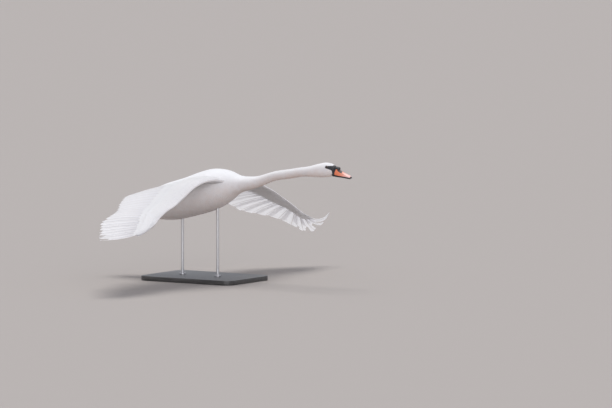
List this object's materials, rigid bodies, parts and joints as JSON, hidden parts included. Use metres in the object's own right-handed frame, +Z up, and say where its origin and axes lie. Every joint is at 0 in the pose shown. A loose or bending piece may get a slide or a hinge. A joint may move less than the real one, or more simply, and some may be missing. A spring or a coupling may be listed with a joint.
{
  "type": "mute swan",
  "caption": "Life-size still model of a mute swan in flight, neck stretched and wings spread, on a flat base with two short rods.",
  "frame": {"origin": "centre of the underside of the stand's base", "axes": "+X the way the bird flies, +Y to its left, along the wingspan, +Z up"},
  "size_m": [1.3558, 1.9524, 0.5879],
  "materials": {
    "plumage": "matte",
    "bill_orange": "satin",
    "bill_black": "satin",
    "eye": "polished",
    "foot": "matte",
    "base": "satin",
    "rod": "satin"
  },
  "bodies": {
    "root": {"trunk": "plumage", "neck_base": "plumage", "neck_middle": "plumage", "neck_upper": "plumage", "head": "plumage", "tail": "plumage", "wing_arm_right": "plumage", "wing_arm_left": "plumage", "wing_hand_right": "plumage", "wing_hand_left": "plumage", "bill_upper": "bill_orange", "bill_lower": "bill_black", "bill_knob": "bill_black", "eye_right": "eye", "eye_left": "eye", "leg_right": "foot", "leg_left": "foot", "foot_right": "foot", "foot_left": "foot", "stand_base": "base", "stand_rod_front": "rod", "stand_rod_rear": "rod"}
  },
  "joints": []
}
